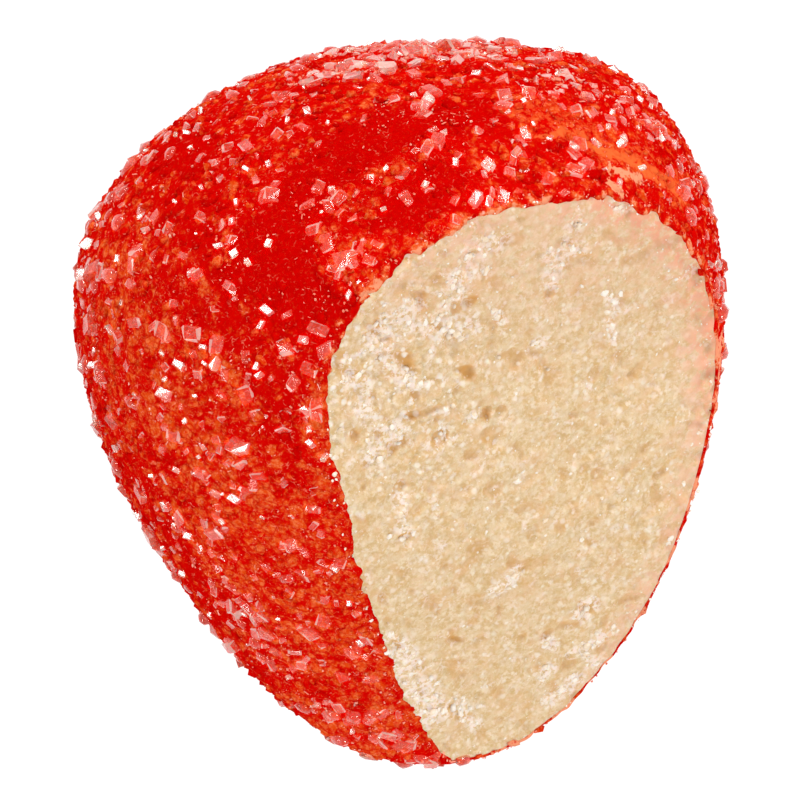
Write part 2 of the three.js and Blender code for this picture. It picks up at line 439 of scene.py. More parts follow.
def form_mesh(splits):
    """The whole form before the cut, as an even mesh."""
    ball = bmesh.new()
    bmesh.ops.create_icosphere(ball, subdivisions=1, radius=1.0)
    bmesh.ops.subdivide_edges(ball, edges=ball.edges[:], cuts=splits - 1, use_grid_fill=True)
    mesh = bpy.data.meshes.new("form")
    ball.to_mesh(mesh)
    ball.free()
    directions = places_of(mesh)
    put_places(mesh, surface_along(directions / np.linalg.norm(directions, axis=1)[:, None]))
    return mesh


def moved(mesh, heights, floor):
    """A mesh with its points moved along its normals, and none of them under a floor."""
    points = places_of(mesh) + normals_of(mesh) * heights[:, None]
    points[:, 2] = np.maximum(points[:, 2], floor)
    put_places(mesh, points)
    return mesh


def carved(name, body, *cutters):
    """A solid with others cut away from it."""
    piece = linked(name, body)
    tools = [linked("tool", cutter) for cutter in cutters]
    for tool in tools:
        cut = piece.modifiers.new("cut", "BOOLEAN")
        cut.operation = "DIFFERENCE"
        cut.solver = "MANIFOLD"
        cut.object = tool
    graph = bpy.context.evaluated_depsgraph_get()
    piece.data = bpy.data.meshes.new_from_object(piece.evaluated_get(graph))
    piece.modifiers.clear()
    for tool in tools:
        bpy.data.objects.remove(tool)
    return piece


def cut_place(right, crown):
    return CUT_MIDDLE + np.multiply.outer(right, CUT_RIGHT) + np.multiply.outer(crown, CUT_CROWN)


def cut_relief(points):
    """How far the crumbly cut stands out of its plane."""
    torn = torn_at(points)
    crumbs = sum((high + more * torn) * (grains(points, size, start) - GRAIN_MIDDLE)
                 for high, more, size, start in CUT_GRAINS)
    crumbs += (0.04 + 0.07 * torn) * ripple(points, 0.36, 9.5) - PIT_DEEP * pit_at(points)
    wave = cut_wave(points) + ripples(points, CUT_SWELL)
    nicked = 0.14 + 0.3 * smooth(3.0, 7.0, points[:, 0] - 0.25 * points[:, 1])
    ragged = nicked * ripple(points, 0.75, 33.0) * smooth(1.2, 0.0, rim_depth(points))
    return wave + crumbs * (0.7 + 0.3 * smooth(0.0, 1.3, rim_depth(points))) + ragged


def knife_mesh():
    """The block that the cut takes away. Its underside has the crumbs' relief."""
    counts = [round((high - low) / CUT_PITCH) + 1 for low, high in zip(CUT_LOW, CUT_HIGH)]
    right, crown = np.meshgrid(*[np.linspace(l, h, n) for l, h, n in zip(CUT_LOW, CUT_HIGH, counts)])
    under = cut_place(right.ravel(), crown.ravel())
    under += cut_relief(under)[:, None] * CUT_NORMAL
    columns, rows = counts
    index = np.arange(columns * rows).reshape(rows, columns)
    quads = np.stack([index[:-1, :-1], index[1:, :-1], index[1:, 1:], index[:-1, 1:]], -1).reshape(-1, 4)
    corners = [index[0, 0], index[0, -1], index[-1, -1], index[-1, 0]]
    top = columns * rows + np.arange(4)
    over = under[corners] + CUT_BLOCK * CUT_NORMAL
    sides = [index[0, :], index[:, -1], index[-1, ::-1], index[::-1, 0]]
    walls = [[*side.tolist(), int(top[(i + 1) % 4]), int(top[i])] for i, side in enumerate(sides)]
    return mesh_from("knife", np.vstack([under, over]), quads.tolist() + walls + [top.tolist()])


def skin_relief(points):
    """Fine crags of the coat, lower under the glaze and on the bare streaks."""
    calm = np.maximum(glaze_at(points) * 0.7, bare_at(points) * 0.9)
    crags = SKIN_CRAGS["high"] * grains(points, SKIN_CRAGS["long"], 3.0)
    swell = SKIN_CRAGS["swell"] * ripple(points, SKIN_CRAGS["swell_long"], 17.0)
    return (1 - calm) * (crags + swell) - SKIN_CRAGS["sunk"]


knife = knife_mesh()
whole_form = form_mesh(SKIN_SPLITS)
form_points = places_of(whole_form)
form_normals = normals_of(whole_form)
form_corners = np.array([p.vertices for p in whole_form.polygons])
skin = moved(form_mesh(SKIN_SPLITS), skin_relief(form_points), -FLAT_DEPTH)
lining = form_mesh(LINING_SPLITS)
lining = moved(lining, np.full(len(lining.vertices), -COAT_THICK), COAT_THICK - FLAT_DEPTH)

# The core line's middle in the frame: the solid paste's left side and crown are clear of the cut.
paste_low, paste_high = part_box("marzipan")
ORIGIN = np.array((
    paste_low.x / MM - PASTE_DEPTH - form_points[:, 0].min(),
    paste_high.y / MM + PASTE_DEPTH - form_points[:, 1].max(),
    FLAT_DEPTH,
))


# Sugar crystals

def on_sides(points):
    """1 on the sides, which show as the outline from above, falling to 0 on the upper side and the back."""
    return smooth(*SIDE_HEIGHTS, np.abs(points[:, 2])) * (1 - worn_at(points))


def on_upper_side(points):
    """1 on the upper side, falling to 0 at the sides."""
    return smooth(*UPPER_HEIGHTS, points[:, 2])


def flecks_at(points):
    """How thick fine grains lie in small drifts of their own, from 0 to 1."""
    return smooth(-0.1, 0.5, ripple(points, 1.1, 44.0))


# The kinds of sugar. Each has the seed of its scatter, how many places are tried, how far apart and how
# far off the cut they lie, and how thick they lie all over, with what each region adds or takes. Lengths
# are millimetres, a range or the shortest and what is added, and widths and thicknesses are shares of
# them. Crystals are sunk by a share of their thickness or lifted by millimetres, tilted by radians,
# knocked out of true, and some bevelled. Shares of the bevelled edges and other faces are frosted.
GRANULES = {
    "seed": 12, "tries": 28000, "apart": 0.47, "off_cut": 0.14,
    "all_over": 1.0, "regions": {glaze_at: -0.97, bare_at: -0.6, worn_at: -0.7},
    "long": (0.45, 0.95), "wide": (0.6, 0.95), "thick": (0.45, 0.7),
    "sunk": 0.35, "tilt": 0.4, "knock": 0.12, "tones": 0.6,
}
CLEAR = {
    "seed": 11, "tries": 15000, "apart": 0.5, "off_cut": 0.12, "all_over": 0.13,
    "regions": {heap_at: 0.4, crown_drift: 0.6, bare_at: -0.3, glaze_at: -0.1, worn_at: -0.6},
    "shortest": 0.4, "added": 0.45, "heaped": 0.25, "wide": (0.5, 0.95), "thick": (0.4, 0.8),
    "sunk": 0.3, "tilt": 0.6, "knock": 0.09,
    "bevel": 0.12, "edges": 0.45, "frost": 0.02, "crown_frost": 0.5,
}
LARGE = {
    "seed": 15, "wide": (0.6, 0.9), "thick": (0.5, 0.75), "crown_less": 0.2,
    "sunk": 0.05, "tilt": 0.7, "knock": 0.1,
    "bevel": 0.14, "edges": 0.35, "frost": 0.04, "crown_frost": 0.55,
}
RIM = {
    "seed": 17, "tries": 6000, "apart": 0.9, "off_cut": 0.5,
    "all_over": 0.09, "regions": {heap_at: 0.25}, "only": on_sides,
    "long": (0.6, 1.1), "wide": (0.65, 0.95), "thick": (0.55, 0.85),
    "sunk": 0.3, "tilt": 0.7, "knock": 0.05, "bevel": 0.27,
}
GLINTING = {
    "seed": 16, "tries": 3000, "apart": 0.7, "off_cut": 0.05,
    "all_over": 0.15, "regions": {heap_at: 0.3, brighter_at: 0.3}, "only": on_upper_side,
    "long": (0.15, 0.45), "wide": (0.5, 0.8), "thick": (0.5, 0.7),
    "lift": 0.12, "tilt": 0.09, "knock": 0.05, "bevel": 0.08,
}
FINE = {
    "seed": 13, "tries": 36000, "apart": 0.08, "off_cut": 0.05,
    "all_over": 0.0, "regions": {flecks_at: 0.7, heap_at: 0.5, crown_drift: 1.0, by_cut: 1.0},
    "shortest": 0.04, "added": 0.09, "heaped": 0.14, "wide": (0.4, 0.9), "thick": (0.4, 0.8),
    "lift": 0.1, "tilt": 0.9, "knock": 0.2, "needles": 0.15, "needle": (2.4, 0.5, 0.5),
}
CRUMBS = {
    "seed": 14, "tries": 26000, "within": 0.995, "rim_wide": 0.35,
    "all_over": 0.02, "torn": 0.05, "white": 0.34, "rim": 0.4,
    "shortest": 0.13, "added": 0.1, "heaped": 0.32, "wide": (0.6, 1.0), "thick": (0.35, 0.6),
    "sunk": 0.03, "tilt": 0.3, "knock": 0.08,
}
OFF_REST = 0.35  # crystals keep this far over the resting plane
REST_GAP = 0.02  # and their corners this far
KNIFE_SHARE = (0.85, 1.0)  # how much of what stands over the cut the knife takes off
SLANT = 0.35  # how far a crystal may lean out of a right angle
FACE_CLOUD = 0.5  # how far the cloudiness of a crystal's faces may differ from its own
BEVEL_REACH = 0.52  # a unit block's faces lie nearer to its middle than this, and its bevels further off


def tree_of(points):
    tree = kdtree.KDTree(len(points))
    for i, p in enumerate(points):
        tree.insert(p, i)
    tree.balance()
    return tree


def solid_of(mesh):
    """The points and faces of a bmesh, which is then freed."""
    mesh.verts.index_update()
    points = np.array([v.co for v in mesh.verts])
    faces = [[v.index for v in f.verts] for f in mesh.faces]
    mesh.free()
    return points, faces


def bevelled_block(bevel):
    """A unit block with all its edges taken off."""
    block = bmesh.new()
    bmesh.ops.create_cube(block, size=1.0)
    bmesh.ops.bevel(block, geom=block.edges[:], offset=bevel, segments=1, affect="EDGES", profile=0.5)
    return solid_of(block)


def plain_block():
    block = bmesh.new()
    bmesh.ops.create_cube(block, size=1.0)
    return solid_of(block)


def small_stone():
    stone = bmesh.new()
    bmesh.ops.create_icosphere(stone, subdivisions=1, radius=0.5)
    return solid_of(stone)


def turns_about(axes, angles):
    """Rotation matrices about unit axes."""
    x, y, z = axes.T
    zero = np.zeros_like(x)
    cross = np.stack([zero, -z, y, z, zero, -x, -y, x, zero], 1).reshape(-1, 3, 3)
    sine = np.sin(angles)[:, None, None]
    cosine = np.cos(angles)[:, None, None]
    return np.eye(3) + sine * cross + (1 - cosine) * (cross @ cross)


def lying_on(outward, tilt, draw):
    """Rotations that lay a block on a surface, turned at random and tilted by up to an angle."""
    count = len(outward)
    helper = np.where(np.abs(outward[:, :1]) < 0.8, np.array([[1.0, 0, 0]]), np.array([[0, 1.0, 0]]))
    side = np.cross(outward, helper)
    side /= np.linalg.norm(side, axis=1)[:, None]
    lie = np.stack([side, np.cross(outward, side), outward], 2)
    spin = turns_about(np.tile((0.0, 0.0, 1.0), (count, 1)), draw.uniform(0, 2 * np.pi, count))
    heading = draw.uniform(0, 2 * np.pi, count)
    axes = np.stack([np.cos(heading), np.sin(heading), np.zeros(count)], 1)
    return lie @ turns_about(axes, draw.uniform(-tilt, tilt, count)) @ spin


def thickness_of(kind, points):
    """How thick a kind of sugar lies, from 0 to 1."""
    share = np.full(len(points), kind["all_over"])
    for region, added in kind["regions"].items():
        share = share + added * region(points)
    return share * kind["only"](points) if "only" in kind else share


def scattered(kind, draw):
    """Places on the coat for a kind of sugar, none too close to another or to the cut, with their outward
    directions."""
    count = kind["tries"]
    a, b, c = (form_points[form_corners[:, i]] for i in range(3))
    areas = np.linalg.norm(np.cross(b - a, c - a), axis=1)
    picked = form_corners[draw.choice(len(form_corners), count, p=areas / areas.sum())]
    r, s = np.sqrt(draw.random(count)), draw.random(count)
    weights = np.stack([1 - r, r * (1 - s), r * s], 1)[:, :, None]
    points = (form_points[picked] * weights).sum(1)
    outward = (form_normals[picked] * weights).sum(1)
    outward /= np.linalg.norm(outward, axis=1)[:, None]
    clear = (over_cut(points) < tip_lip(points) - kind["off_cut"]) & (points[:, 2] > OFF_REST - FLAT_DEPTH)
    keep = clear & (draw.random(count) < thickness_of(kind, points))
    points, outward = points[keep], outward[keep]
    tree = tree_of(points)
    taken = np.ones(len(points), bool)
    for i, p in enumerate(points):
        if taken[i]:
            for _, j, _ in tree.find_range(p, kind["apart"]):
                if j > i:
                    taken[j] = False
    return points[taken], outward[taken]


def sized(kind, longs, draw):
    """Length, width and thickness of each crystal of a kind, from its length."""
    count = len(longs)
    widths = longs * draw.uniform(*kind["wide"], count)
    return np.stack([longs, widths, longs * draw.uniform(*kind["thick"], count)], 1)


def shaved(corners, draw):
    """Crystals cut off by the knife at the cut, and kept over the resting plane."""
    count, each, _ = corners.shape
    flat = corners.reshape(-1, 3)
    share = np.repeat(draw.uniform(*KNIFE_SHARE, count), each)
    flat = flat - (np.maximum(over_cut(flat) - tip_lip(flat), 0) * share)[:, None] * CUT_NORMAL
    flat[:, 2] = np.maximum(flat[:, 2], REST_GAP - FLAT_DEPTH)
    return flat.reshape(count, each, 3)


def crystal_piece(name, kind, template, centres, outward, sizes, draw, on_coat=True, frost=0.0):
    """One piece of many crystals of a kind: each a template scaled, slanted, knocked out of true, laid down
    and placed. Each face has its own cloudiness. Shares of the bevelled edges and of the other faces are
    marked as frosted."""
    base, faces = template
    count = len(centres)
    turned = lying_on(outward, kind["tilt"], draw)
    bevels = np.array([np.linalg.norm(base[face].mean(0)) > BEVEL_REACH for face in faces])
    slants = np.tile(np.eye(3), (count, 1, 1))
    slants[:, 0, 2] = draw.uniform(-SLANT, SLANT, count)
    slants[:, 1, 0] = draw.uniform(-SLANT, SLANT, count)
    knocked = base[None] + draw.uniform(-kind["knock"], kind["knock"], (count, *base.shape))
    corners = np.einsum("nij,nvj->nvi", turned @ slants, knocked * sizes[:, None]) + centres[:, None]
    if on_coat:
        corners = shaved(corners, draw)
    starts = (np.arange(count) * len(base)).tolist()
    mesh = mesh_from(name, corners.reshape(-1, 3), [[v + s for v in f] for s in starts for f in faces])
    clouds = draw.uniform(-FACE_CLOUD, FACE_CLOUD, (count, len(faces))) + draw.random((count, 1))
    give(mesh, "cloud", clouds.ravel(), "FACE")
    shares = np.where(bevels, kind.get("edges", 0.0), np.broadcast_to(frost, count)[:, None])
    frosted = draw.random((count, len(faces))) < shares
    mesh.polygons.foreach_set("material_index", frosted.ravel().astype(np.int32))
    return linked(name, mesh)


def dyed_granules():
    """The body of the coat: close-set granules of sugar, half sunk in it and soaked with its dye, some
    redder and some more orange."""
    draw = np.random.default_rng(GRANULES["seed"])
    stone = small_stone()
    points, outward = scattered(GRANULES, draw)
    count = len(points)
    sizes = sized(GRANULES, draw.uniform(*GRANULES["long"], count), draw)
    centres = points + outward * (sizes[:, 2:] * draw.uniform(-GRANULES["sunk"], 0.0, (count, 1)))
    granules = crystal_piece("dyed_granules", GRANULES, stone, centres, outward, sizes, draw)
    tones = draw.uniform(-GRANULES["tones"], GRANULES["tones"], count)
    give_dye(granules.data, places_of(granules.data), np.repeat(tones, len(stone[0])))
    return granules


def clear_crystals():
    """Clear crystals on top of the dyed ones, and in drifts near the edges."""
    draw = np.random.default_rng(CLEAR["seed"])
    points, outward = scattered(CLEAR, draw)
    count = len(points)
    longs = CLEAR["shortest"] + CLEAR["added"] * draw.random(count) ** 2
    longs += CLEAR["heaped"] * heap_at(points) * draw.random(count)
    sizes = sized(CLEAR, longs, draw)
    centres = points + outward * (sizes[:, 2:] * draw.uniform(-CLEAR["sunk"], 0.0, (count, 1)))
    frost = CLEAR["frost"] + CLEAR["crown_frost"] * crown_drift(points)
    block = bevelled_block(CLEAR["bevel"])
    return crystal_piece("clear_crystals", CLEAR, block, centres, outward, sizes, draw, frost=frost)


def flashing_from(points, light):
    """Directions in which a facet at each point mirrors a light to the lens."""
    lens = np.array((*FRAME_MIDDLE, LENS_HEIGHT))
    ways = [(np.array(place) - points) for place in (light, lens)]
    half = sum(way / np.linalg.norm(way, axis=1)[:, None] for way in ways)
    return half / np.linalg.norm(half, axis=1)[:, None]


def on_coat_at(placed):
    """Points of the coat at places seen from above, with their outward directions."""
    points = np.array([on_top(x, y) for x, y, _ in placed])
    form_tree = tree_of(form_points)
    return points, np.array([form_normals[form_tree.find(p)[1]] for p in points])


def large_crystals():
    """Large clear crystals that lie apart, and heaps of them at the crown and the left side."""
    draw = np.random.default_rng(LARGE["seed"])
    placed = np.array(LARGE_CRYSTALS)
    points, outward = on_coat_at(placed)
    drift = crown_drift(points)
    sizes = sized(LARGE, placed[:, 2] * (1 - LARGE["crown_less"] * drift), draw)
    centres = points - outward * (sizes[:, 2:] * LARGE["sunk"])
    frost = LARGE["frost"] + LARGE["crown_frost"] * drift
    block = bevelled_block(LARGE["bevel"])
    return crystal_piece("large_crystals", LARGE, block, centres, outward, sizes, draw, frost=frost)


def rim_crystals():
    """Rounded clear crystals that stand out all round the sides."""
    draw = np.random.default_rng(RIM["seed"])
    points, outward = scattered(RIM, draw)
    count = len(points)
    sizes = sized(RIM, draw.uniform(*RIM["long"], count), draw)
    centres = points - outward * (sizes[:, 2:] * draw.uniform(0.0, RIM["sunk"], (count, 1)))
    return crystal_piece("rim_crystals", RIM, bevelled_block(RIM["bevel"]), centres, outward, sizes, draw)


def glinting_crystals():
    """Crystals with a flat facet turned so that it catches the light."""
    draw = np.random.default_rng(GLINTING["seed"])
    points, outward = scattered(GLINTING, draw)
    placed = np.array(GLINTS)
    known, known_outward = on_coat_at(placed)
    points, outward = np.vstack([known, points]), np.vstack([known_outward, outward])
    longs = np.concatenate([placed[:, 2], draw.uniform(*GLINTING["long"], len(points) - len(placed))])
    sizes = sized(GLINTING, longs, draw)
    centres = points + GLINTING["lift"] * outward
    facing = flashing_from(points, KEY_LIGHT)
    block = bevelled_block(GLINTING["bevel"])
    return crystal_piece("glinting_crystals", GLINTING, block, centres, facing, sizes, draw)


def fine_grains():
    """Broken grains and thin needles between the crystals and on the glaze."""
    draw = np.random.default_rng(FINE["seed"])
    points, outward = scattered(FINE, draw)
    count = len(points)
    added = FINE["added"] + FINE["heaped"] * crown_drift(points)
    longs = FINE["shortest"] + added * draw.random(count) ** 2
    sizes = sized(FINE, longs, draw)
    sizes[draw.random(count) < FINE["needles"]] *= np.array(FINE["needle"])
    centres = points + outward * draw.uniform(0.0, FINE["lift"], (count, 1))
    return crystal_piece("fine_grains", FINE, plain_block(), centres, outward, sizes, draw)


def loose_crumbs():
    """Crumbs and broken sugar on the cut, in drifts."""
    draw = np.random.default_rng(CRUMBS["seed"])
    sweep = [draw.uniform(low, high, CRUMBS["tries"]) for low, high in zip(CUT_LOW, CUT_HIGH)]
    points = cut_place(*sweep)
    points = points[fullness(points) < CRUMBS["within"]]
    white = white_at(points)
    rim = smooth(CRUMBS["rim_wide"], 0.0, rim_depth(points))
    share = CRUMBS["all_over"] + CRUMBS["torn"] * torn_at(points)
    share = share + CRUMBS["white"] * white + CRUMBS["rim"] * rim
    keep = draw.random(len(points)) < share
    points, white = points[keep], white[keep]
    points = points + cut_relief(points)[:, None] * CUT_NORMAL
    count = len(points)
    outward = np.tile(CUT_NORMAL, (count, 1))
    longs = CRUMBS["shortest"] + (CRUMBS["added"] + CRUMBS["heaped"] * white) * draw.random(count) ** 2
    sizes = sized(CRUMBS, longs, draw)
    centres = points - CRUMBS["sunk"] * outward
    stone = small_stone()
    return crystal_piece("loose_crumbs", CRUMBS, stone, centres, outward, sizes, draw, on_coat=False)


# Materials

def per(size):
    """A texture's scale, for features of a size in millimetres."""
    return 1 / (size * MM)


MIX_FIRST, MIX_SECOND, MIX_RESULT = 6, 7, 2  # the colour sockets of a Mix node


class Sheet:
    """The nodes of one material or group, with short ways to add and join them."""

    def __init__(self, tree):
        self.tree = tree

    def add(self, kind, **settings):
        node = self.tree.nodes.new("ShaderNode" + kind)
        for name, value in settings.items():
            setattr(node, name, value)
        return node

    def feed(self, socket, value):
        if isinstance(value, bpy.types.NodeSocket):
            self.tree.links.new(value, socket)
        else:
            socket.default_value = value

    def number(self, name):
        return self.add("Attribute", attribute_name=name).outputs["Fac"]

    def group(self, tree, **inputs):
        node = self.add("Group")
        node.node_tree = tree
        for name, value in inputs.items():
            self.feed(node.inputs[name], value)
        return node.outputs

    def combined(self, operation, first, second):
        node = self.add("Math", operation=operation)
        self.feed(node.inputs[0], first)
        self.feed(node.inputs[1], second)
        return node.outputs[0]

    def times(self, first, second):
        return self.combined("MULTIPLY", first, second)

    def plus(self, first, second):
        return self.combined("ADD", first, second)

    def step(self, value, low, high, out_low=0.0, out_high=1.0):
        node = self.add("MapRange", interpolation_type="SMOOTHSTEP")
        for name, given in (("Value", value), ("From Min", low), ("From Max", high),
                            ("To Min", out_low), ("To Max", out_high)):
            self.feed(node.inputs[name], given)
        return node.outputs["Result"]

    def mix(self, share, first, second):
        node = self.add("Mix", data_type="RGBA")
        self.feed(node.inputs["Factor"], share)
        self.feed(node.inputs[MIX_FIRST], first)
        self.feed(node.inputs[MIX_SECOND], second)
        return node.outputs[MIX_RESULT]

    def layered(self, colour, *layers):
        """A colour with others laid over it, each by a mask and how strong it is."""
        for mask, strength, over in layers:
            colour = self.mix(self.times(mask, strength), colour, over)
        return colour

    def bump(self, height, strength, distance):
        node = self.add("Bump")
        self.feed(node.inputs["Height"], height)
        self.feed(node.inputs["Strength"], strength)
        self.feed(node.inputs["Distance"], distance * MM)
        return node.outputs["Normal"]


def new_group(name, inputs, outputs):
    """An empty shader group with number sockets, and its input and output nodes."""
    tree = bpy.data.node_groups.new(name, "ShaderNodeTree")
    for socket in inputs:
        tree.interface.new_socket(socket, in_out="INPUT", socket_type="NodeSocketFloat")
    for socket in outputs:
        tree.interface.new_socket(socket, in_out="OUTPUT", socket_type="NodeSocketFloat")
    return tree, tree.nodes.new("NodeGroupInput").outputs, tree.nodes.new("NodeGroupOutput").inputs


def grain_group():
    """Fine irregular grain: a mask that rises from 0 at Low to 1 at High."""
    tree, given, out = new_group("Fine grain", ("Scale", "Detail", "Low", "High"), ("Mask", "Height"))
    sheet = Sheet(tree)
    cloud = sheet.add("TexNoise")
    cloud.inputs["Roughness"].default_value = 0.65
    sheet.feed(cloud.inputs["Vector"], sheet.add("TexCoord").outputs["Object"])
    sheet.feed(cloud.inputs["Scale"], given["Scale"])
    sheet.feed(cloud.inputs["Detail"], given["Detail"])
    sheet.feed(out["Mask"], sheet.step(cloud.outputs["Fac"], given["Low"], given["High"]))
    sheet.feed(out["Height"], cloud.outputs["Fac"])
    return tree


def dot_group():
    """Small round sugar grains, of which a share shows."""
    tree, given, out = new_group("Sugar dots", ("Scale", "Share"), ("Mask",))
    sheet = Sheet(tree)
    cells = sheet.add("TexVoronoi")
    sheet.feed(cells.inputs["Vector"], sheet.add("TexCoord").outputs["Object"])
    sheet.feed(cells.inputs["Scale"], given["Scale"])
    tones = sheet.add("SeparateColor")
    sheet.feed(tones.inputs[0], cells.outputs["Color"])
    shown = sheet.step(tones.outputs[0], sheet.plus(given["Share"], 0.15), given["Share"])
    sheet.feed(out["Mask"], sheet.times(shown, sheet.step(cells.outputs["Distance"], 0.4, 0.15)))
    return tree


grain = grain_group()
dots = dot_group()


def grain_mask(sheet, size, detail, low, high):
    """Fine grain with features of a size in millimetres, as a mask."""
    return sheet.group(grain, Scale=per(size), Detail=detail, Low=low, High=high)["Mask"]


def stroke_group():
    """Short bent pale strokes, like the edges of sunk crystals."""
    tree, given, out = new_group("Strokes", ("Scale", "Width", "Low", "High"), ("Mask",))
    sheet = Sheet(tree)
    cloud = sheet.group(grain, Scale=given["Scale"], Detail=1.0, Low=0.0, High=1.0)["Height"]
    off = sheet.add("Math", operation="ABSOLUTE")
    sheet.feed(off.inputs[0], sheet.plus(cloud, -0.5))
    line = sheet.step(off.outputs[0], given["Width"], 0.0)
    parts = sheet.group(grain, Scale=sheet.times(given["Scale"], 1.3), Detail=2.0, Low=given["Low"],
                        High=given["High"])["Mask"]
    sheet.feed(out["Mask"], sheet.times(line, parts))
    return tree


strokes = stroke_group()


JOINT_BEND = 0.8  # how far the joints between granules bend, as a share of a granule


def cell_group():
    """Granules set close together: a tone for each from 0 to 1, and the joints between them."""
    tree, given, out = new_group("Set granules", ("Scale", "Width"), ("Tone", "Joint"))
    sheet = Sheet(tree)
    place = sheet.add("TexCoord").outputs["Object"]
    bend = sheet.add("TexNoise")
    sheet.feed(bend.inputs["Vector"], place)
    sheet.feed(bend.inputs["Scale"], sheet.times(given["Scale"], 1.5))
    scaled = sheet.add("VectorMath", operation="SCALE")
    sheet.feed(scaled.inputs[0], bend.outputs["Color"])
    sheet.feed(scaled.inputs["Scale"], sheet.combined("DIVIDE", JOINT_BEND, given["Scale"]))
    bent = sheet.add("VectorMath", operation="ADD")
    sheet.feed(bent.inputs[0], place)
    sheet.feed(bent.inputs[1], scaled.outputs[0])
    cells = sheet.add("TexVoronoi")
    edges = sheet.add("TexVoronoi", feature="DISTANCE_TO_EDGE")
    for texture in (cells, edges):
        sheet.feed(texture.inputs["Vector"], bent.outputs[0])
        sheet.feed(texture.inputs["Scale"], given["Scale"])
    tones = sheet.add("SeparateColor")
    sheet.feed(tones.inputs[0], cells.outputs["Color"])
    sheet.feed(out["Tone"], tones.outputs[0])
    sheet.feed(out["Joint"], sheet.step(edges.outputs["Distance"], given["Width"], 0.0))
    return tree


granular = cell_group()


def dye_group():
    """The coat's colour: red with orange patches where Warm, pale strokes, and Bare and Peach places."""
    tree, given, out = new_group("Dyed sugar", ("Warm", "Bare", "Peach"), ("Height",))
    tree.interface.new_socket("Color", in_out="OUTPUT", socket_type="NodeSocketColor")
    sheet = Sheet(tree)
    patch = sheet.group(grain, Scale=per(0.6), Detail=6.0, Low=0.0, High=1.0)["Height"]
    cell = sheet.group(granular, Scale=per(0.75), Width=0.14)
    patch = sheet.plus(patch, sheet.times(sheet.plus(cell["Tone"], -0.5), 0.16))
    warm = sheet.step(sheet.plus(patch, sheet.times(given["Warm"], 0.2)), 0.49, 0.66)
    thick = sheet.step(given["Warm"], 0.0, -0.5)
    fleck = sheet.group(grain, Scale=per(0.2), Detail=4.0, Low=0.42, High=0.66)
    stroke = sheet.group(strokes, Scale=per(0.4), Width=0.04, Low=0.53, High=0.66)["Mask"]
    nick = sheet.group(strokes, Scale=per(0.22), Width=0.05, Low=0.5, High=0.62)["Mask"]
    speck = sheet.times(sheet.plus(grain_mask(sheet, 0.25, 3.0, 0.25, 0.75), -0.5), 0.9)
    bare = sheet.step(sheet.plus(given["Bare"], speck), 0.3, 0.7)
    peach = sheet.step(sheet.plus(given["Peach"], speck), 0.4, 0.7)
    colour = sheet.layered(
        sheet.mix(grain_mask(sheet, 0.8, 4.0, 0.38, 0.62), DEEP_RED, BRIGHT_RED),
        (thick, 0.8, GLAZE_RED),
        (warm, 1.0, sheet.mix(fleck["Mask"], ORANGE, PALE_ORANGE)),
        (grain_mask(sheet, 0.22, 4.0, 0.54, 0.64), 0.6, BRIGHT_RED),
        (cell["Joint"], 0.75, DEEP_RED),
        (stroke, sheet.step(thick, 0.0, 1.0, 0.7, 0.4), SALMON),
        (nick, sheet.step(thick, 0.0, 0.4, 0.5, 0.1), PALE_ORANGE),
        (sheet.times(bare, given["Bare"]), 1.1, BARE_ORANGE),
        (peach, sheet.step(given["Peach"], 0.0, 0.4), PEACH),
    )
    sheet.feed(out["Color"], colour)
    sheet.feed(out["Height"], fleck["Height"])
    return tree


def new_material(name):
    material = bpy.data.materials.new(name)
    material.use_nodes = True
    sheet = Sheet(material.node_tree)
    return material, sheet, material.node_tree.nodes["Principled BSDF"]


def let_light_in(material, sheet, shader, tint):
    """Lets light pass straight through to what lies under a crystal, instead of a hard shadow."""
    out = material.node_tree.nodes["Material Output"]
    clear = sheet.add("BsdfTransparent")
    clear.inputs["Color"].default_value = tint
    blend = sheet.add("MixShader")
    sheet.feed(blend.inputs[0], sheet.add("LightPath").outputs["Is Shadow Ray"])
    sheet.feed(blend.inputs[1], shader.outputs[0])
    sheet.feed(blend.inputs[2], clear.outputs[0])
    sheet.feed(out.inputs["Surface"], blend.outputs[0])


# Colours of the sugar and the paste
GLAZE_RED = (0.49, 0.0003, 0.0002, 1)
DEEP_RED = (0.58, 0.0005, 0.0003, 1)
BRIGHT_RED = (0.66, 0.002, 0.0005, 1)
ORANGE = (0.72, 0.058, 0.004, 1)
PALE_ORANGE = (0.82, 0.17, 0.05, 1)
SALMON = (0.85, 0.22, 0.13, 1)
BARE_ORANGE = (0.82, 0.13, 0.03, 1)
PEACH = (0.86, 0.3, 0.16, 1)
WHITE_SUGAR = (0.96, 0.9, 0.86, 1)
CLEAR_SUGAR = (0.84, 0.76, 0.63, 1)
TINTED_SUGAR = (0.84, 0.16, 0.045, 1)
SUGAR_DUST = (0.9, 0.36, 0.26, 1)
PASTE = (0.745, 0.545, 0.315, 1)
TAN_PASTE = (0.655, 0.425, 0.18, 1)
PALE_PASTE = (0.86, 0.69, 0.49, 1)
PEACH_PASTE = (0.8, 0.5, 0.28, 1)
# ochre of the pits: partly the paste's own colour, partly painted shade in the hollows
PIT_OCHRE_AND_SHADE = (0.66, 0.32, 0.07, 1)
SOFT_OCHRE = (0.7, 0.42, 0.16, 1)
CRUMB_WHITE = (0.93, 0.79, 0.7, 1)
GRAIN_WHITE = (0.96, 0.88, 0.78, 1)
PINK_BLEED = (0.86, 0.5, 0.33, 1)
RED_BLEED = (0.85, 0.27, 0.15, 1)
SHADE_OF_CLEAR = (0.97, 0.92, 0.9, 1)

dyed = dye_group()


